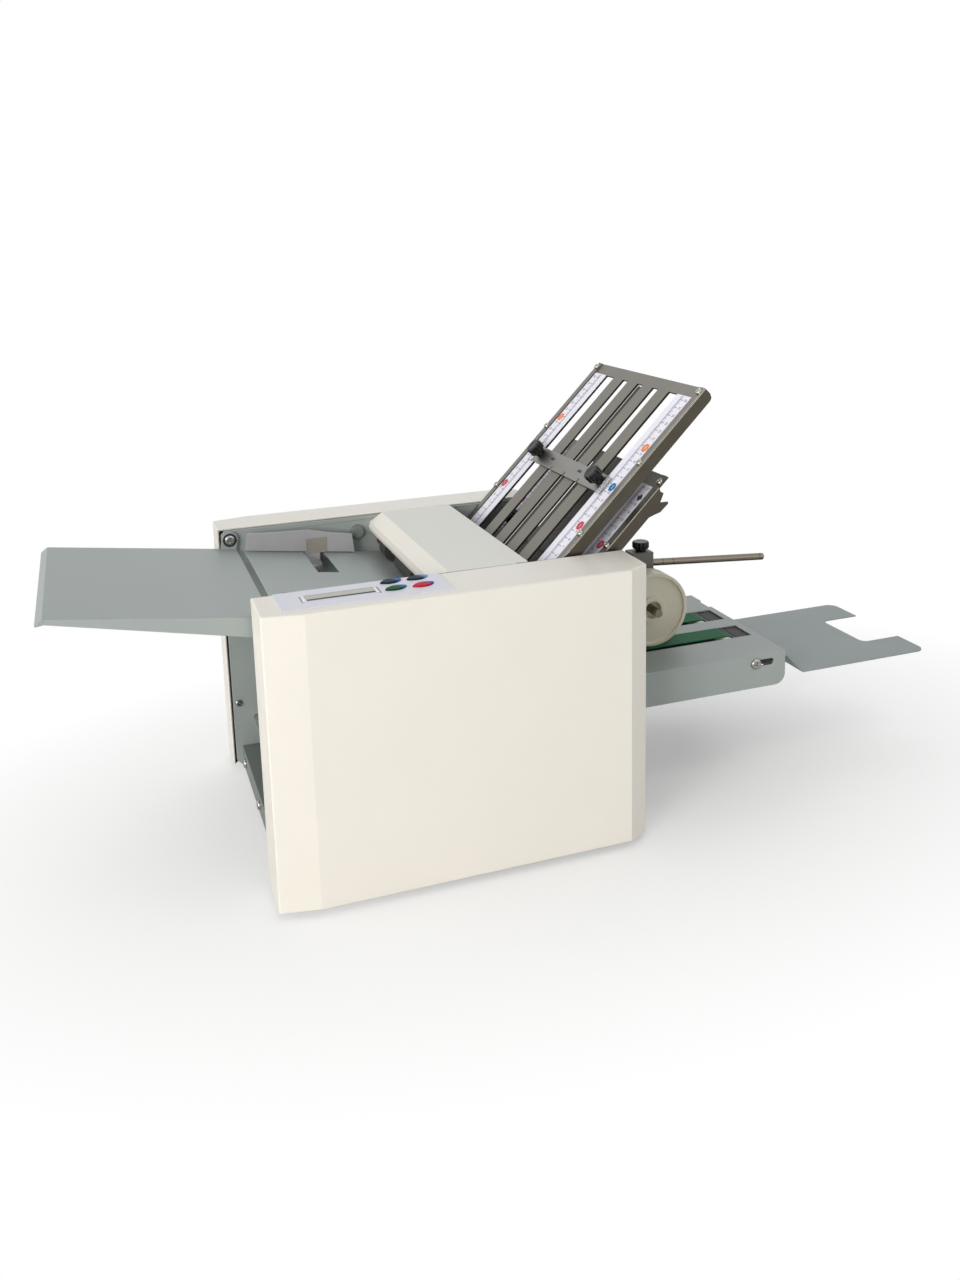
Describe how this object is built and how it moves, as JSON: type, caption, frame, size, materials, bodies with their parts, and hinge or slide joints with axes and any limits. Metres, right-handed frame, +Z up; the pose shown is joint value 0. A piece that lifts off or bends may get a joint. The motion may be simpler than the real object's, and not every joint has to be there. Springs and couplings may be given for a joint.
{
  "type": "paper folding machine",
  "caption": "Desktop paper folding machine with feed tray, geared fold rollers, slotted fold plates with sliding stops and a belt delivery with press wheels.",
  "frame": {"origin": "middle of the whole machine's length and width, on the table under its feet", "axes": "+X from the feed tray to the delivery tray, +Y from the control side to the gear side, +Z up"},
  "size_m": [0.9485, 0.3592, 0.4332],
  "materials": {
    "cream_paint": "fine satin powder coat, warm cream",
    "grey_paint": "satin grey coil coating",
    "dark_paint": "matte dark grey paint",
    "plate_steel": "brownish brushed stainless sheet",
    "steel": "ground bright steel",
    "zinc": "zinc plated",
    "bronze": "sintered bronze",
    "roller_rubber": "ground polyurethane",
    "black_rubber": "matte black",
    "cork": "cork rubber",
    "belt_green": "smooth green conveyor belting",
    "drive_belt": "black moulded belt",
    "cream_plastic": "moulded cream ABS",
    "white_plastic": "white acetal",
    "black_plastic": "glossy black",
    "panel_film": "pale lavender printed film",
    "lcd": "silver display",
    "board": "green solder mask",
    "button_blue": "teal blue key",
    "button_green": "green key",
    "button_navy": "dark blue key",
    "button_red": "red key",
    "ruler_white": "white printed scale"
  },
  "bodies": {
    "machine": {"base_plate": "dark_paint", "near_side_frame": "grey_paint", "far_side_frame": "grey_paint", "near_cover": "cream_paint", "far_cover": "cream_paint", "cross_rods": "steel", "rubber_feet": "black_rubber", "frame_bolts": "zinc", "roller_bushes": "bronze", "infeed_guide": "plate_steel", "separator_pad": "cork", "lower_guide": "plate_steel", "conveyor_channel": "grey_paint", "conveyor_belts": "belt_green", "motor": "dark_paint", "drive_belts": "drive_belt", "control_panel": "panel_film", "display": "lcd", "control_board": "board", "power_inlet": "black_plastic", "lift_springs": "steel"},
    "feed_tray": {"feed_tray": "grey_paint"},
    "lift_plate": {"lift_plate": "grey_paint"},
    "near_guide": {"near_side_guide": "grey_paint"},
    "far_guide": {"far_side_guide": "grey_paint"},
    "hood": {"hood": "cream_paint"},
    "feed_shaft": {"feed_shaft": "steel", "feed_rollers": "roller_rubber"},
    "roller_1": {"fold_roller_1": "roller_rubber"},
    "roller_2": {"fold_roller_2": "roller_rubber"},
    "roller_3": {"fold_roller_3": "roller_rubber"},
    "roller_4": {"fold_roller_4": "roller_rubber"},
    "roller_5": {"fold_roller_5": "roller_rubber"},
    "idler": {"idler_gear": "white_plastic"},
    "drive_roller": {"conveyor_drive_roller": "steel"},
    "front_roller": {"conveyor_front_roller": "white_plastic"},
    "motor_shaft": {"motor_pulley": "zinc"},
    "press_rod": {"press_rod": "steel"},
    "carriage": {"wheel_carriage": "grey_paint"},
    "carriage_knob": {"carriage_knob": "black_plastic"},
    "near_wheel": {"near_press_wheel": "cream_plastic"},
    "far_wheel": {"far_press_wheel": "cream_plastic"},
    "extension_tray": {"extension_tray": "grey_paint"},
    "power_switch": {"power_switch": "black_plastic"},
    "button_up": {"button_up": "button_blue"},
    "button_down": {"button_down": "button_green"},
    "button_start": {"button_start": "button_navy"},
    "button_stop": {"button_stop": "button_red"},
    "upper_plate": {"upper_fold_plate": "plate_steel", "upper_plate_backing": "plate_steel", "upper_plate_rulers": "ruler_white"},
    "upper_stop": {"upper_stop_bar": "steel"},
    "upper_knob_near": {"upper_stop_knob_near": "black_plastic"},
    "upper_knob_far": {"upper_stop_knob_far": "black_plastic"},
    "lower_plate": {"lower_fold_plate": "plate_steel", "lower_plate_backing": "plate_steel", "lower_plate_rulers": "ruler_white"},
    "lower_stop": {"lower_stop_bar": "steel"},
    "lower_knob_near": {"lower_stop_knob_near": "black_plastic"},
    "lower_knob_far": {"lower_stop_knob_far": "black_plastic"}
  },
  "joints": [
    {"name": "feed_tray_fold", "type": "hinge", "parent": "machine", "child": "feed_tray", "pos_m": [-0.28312, 0.008, 0.2695], "axis": [0, 1, 0], "range_deg": [0, 80]},
    {"name": "lift_plate_tilt", "type": "hinge", "parent": "machine", "child": "lift_plate", "pos_m": [-0.26362, 0.008, 0.251], "axis": [0, 1, 0], "range_deg": [0, 5], "stiffness_Nm_per_rad": 20, "springref_deg": -5.73, "deforming": ["lift_springs"]},
    {"name": "near_guide_slide", "type": "slide", "parent": "machine", "child": "near_guide", "axis": [0, 1, 0], "range_m": [0, 0.055]},
    {"name": "far_guide_slide", "type": "slide", "parent": "machine", "child": "far_guide", "axis": [0, -1, 0], "range_m": [0, 0.055]},
    {"name": "hood_lift", "type": "hinge", "parent": "machine", "child": "hood", "pos_m": [-0.03462, 0.008, 0.274], "axis": [0, 1, 0], "range_deg": [0, 75]},
    {"name": "roller_4_spin", "type": "hinge", "parent": "machine", "child": "roller_4", "pos_m": [-0.02362, 0.008, 0.199], "axis": [0, 1, 0], "continuous": true},
    {"name": "roller_1_spin", "type": "hinge", "parent": "machine", "child": "roller_1", "pos_m": [-0.04562, 0.008, 0.243], "axis": [0, 1, 0], "continuous": true},
    {"name": "roller_2_spin", "type": "hinge", "parent": "machine", "child": "roller_2", "pos_m": [-0.04562, 0.008, 0.221], "axis": [0, 1, 0], "continuous": true},
    {"name": "roller_3_spin", "type": "hinge", "parent": "machine", "child": "roller_3", "pos_m": [-0.02362, 0.008, 0.221], "axis": [0, 1, 0], "continuous": true},
    {"name": "roller_5_spin", "type": "hinge", "parent": "machine", "child": "roller_5", "pos_m": [-0.00162, 0.008, 0.199], "axis": [0, 1, 0], "continuous": true},
    {"name": "idler_spin", "type": "hinge", "parent": "machine", "child": "idler", "pos_m": [-0.07485, 0.008, 0.25332], "axis": [0, 1, 0], "continuous": true},
    {"name": "feed_shaft_spin", "type": "hinge", "parent": "machine", "child": "feed_shaft", "pos_m": [-0.11162, 0.008, 0.2492], "axis": [0, 1, 0], "continuous": true},
    {"name": "drive_roller_spin", "type": "hinge", "parent": "machine", "child": "drive_roller", "pos_m": [-0.01362, 0.008, 0.1262], "axis": [0, 1, 0], "continuous": true},
    {"name": "front_roller_spin", "type": "hinge", "parent": "machine", "child": "front_roller", "pos_m": [0.23738, 0.008, 0.1262], "axis": [0, 1, 0], "continuous": true},
    {"name": "motor_spin", "type": "hinge", "parent": "machine", "child": "motor_shaft", "pos_m": [-0.17562, 0.008, 0.095], "axis": [0, 1, 0], "continuous": true},
    {"name": "press_rod_lift", "type": "hinge", "parent": "machine", "child": "press_rod", "pos_m": [0.05638, 0.008, 0.229], "axis": [0, -1, 0], "range_deg": [0, 25]},
    {"name": "carriage_slide", "type": "slide", "parent": "press_rod", "child": "carriage", "axis": [0.9972, 0, -0.075], "range_m": [-0.03, 0]},
    {"name": "carriage_knob_turn", "type": "hinge", "parent": "carriage", "child": "carriage_knob", "pos_m": [0.15138, 0.008, 0.24], "axis": [0, 0, 1], "continuous": true},
    {"name": "near_wheel_spin", "type": "hinge", "parent": "carriage", "child": "near_wheel", "pos_m": [0.14738, -0.019, 0.1792], "axis": [0, 1, 0], "continuous": true},
    {"name": "far_wheel_spin", "type": "hinge", "parent": "carriage", "child": "far_wheel", "pos_m": [0.14738, 0.035, 0.1792], "axis": [0, 1, 0], "continuous": true},
    {"name": "extension_tray_slide", "type": "slide", "parent": "machine", "child": "extension_tray", "axis": [1, 0, 0], "range_m": [0, 0.012]},
    {"name": "power_switch_rock", "type": "hinge", "parent": "machine", "child": "power_switch", "pos_m": [-0.21362, 0.174, 0.045], "axis": [1, 0, 0], "range_deg": [0, 16]},
    {"name": "button_up_press", "type": "slide", "parent": "machine", "child": "button_up", "axis": [0, 0, -1], "range_m": [0, 0.001], "stiffness_N_per_m": 300, "springref_m": -0.0005},
    {"name": "button_down_press", "type": "slide", "parent": "machine", "child": "button_down", "axis": [0, 0, -1], "range_m": [0, 0.001], "stiffness_N_per_m": 300, "springref_m": -0.0005},
    {"name": "button_start_press", "type": "slide", "parent": "machine", "child": "button_start", "axis": [0, 0, -1], "range_m": [0, 0.001], "stiffness_N_per_m": 300, "springref_m": -0.0005},
    {"name": "button_stop_press", "type": "slide", "parent": "machine", "child": "button_stop", "axis": [0, 0, -1], "range_m": [0, 0.001], "stiffness_N_per_m": 300, "springref_m": -0.0005},
    {"name": "upper_plate_slide", "type": "slide", "parent": "machine", "child": "upper_plate", "axis": [0.7071, 0, 0.7071], "range_m": [0, 0.1]},
    {"name": "upper_stop_slide", "type": "slide", "parent": "upper_plate", "child": "upper_stop", "axis": [0.7071, 0, 0.7071], "range_m": [-0.085, 0.1]},
    {"name": "upper_knob_near_turn", "type": "hinge", "parent": "upper_stop", "child": "upper_knob_near", "pos_m": [0.06111, -0.068, 0.34504], "axis": [-0.7071, 0, 0.7071], "continuous": true},
    {"name": "upper_knob_far_turn", "type": "hinge", "parent": "upper_stop", "child": "upper_knob_far", "pos_m": [0.06111, 0.084, 0.34504], "axis": [-0.7071, 0, 0.7071], "continuous": true},
    {"name": "lower_plate_slide", "type": "slide", "parent": "machine", "child": "lower_plate", "axis": [0.7071, 0, 0.7071], "range_m": [0, 0.1]},
    {"name": "lower_stop_slide", "type": "slide", "parent": "lower_plate", "child": "lower_stop", "axis": [0.7071, 0, 0.7071], "range_m": [-0.03, 0.085]},
    {"name": "lower_knob_near_turn", "type": "hinge", "parent": "lower_stop", "child": "lower_knob_near", "pos_m": [0.02972, -0.068, 0.26965], "axis": [-0.7071, 0, 0.7071], "continuous": true},
    {"name": "lower_knob_far_turn", "type": "hinge", "parent": "lower_stop", "child": "lower_knob_far", "pos_m": [0.02972, 0.084, 0.26965], "axis": [-0.7071, 0, 0.7071], "continuous": true}
  ],
  "couplings": [
    {"joint": "roller_1_spin", "follows": "roller_4_spin", "ratio": -1},
    {"joint": "roller_2_spin", "follows": "roller_4_spin", "ratio": 1},
    {"joint": "roller_3_spin", "follows": "roller_4_spin", "ratio": -1},
    {"joint": "roller_5_spin", "follows": "roller_4_spin", "ratio": -1},
    {"joint": "idler_spin", "follows": "roller_4_spin", "ratio": 0.55},
    {"joint": "feed_shaft_spin", "follows": "roller_4_spin", "ratio": -0.64706},
    {"joint": "drive_roller_spin", "follows": "roller_4_spin", "ratio": 1},
    {"joint": "front_roller_spin", "follows": "roller_4_spin", "ratio": 1},
    {"joint": "motor_spin", "follows": "roller_4_spin", "ratio": 2.5}
  ]
}
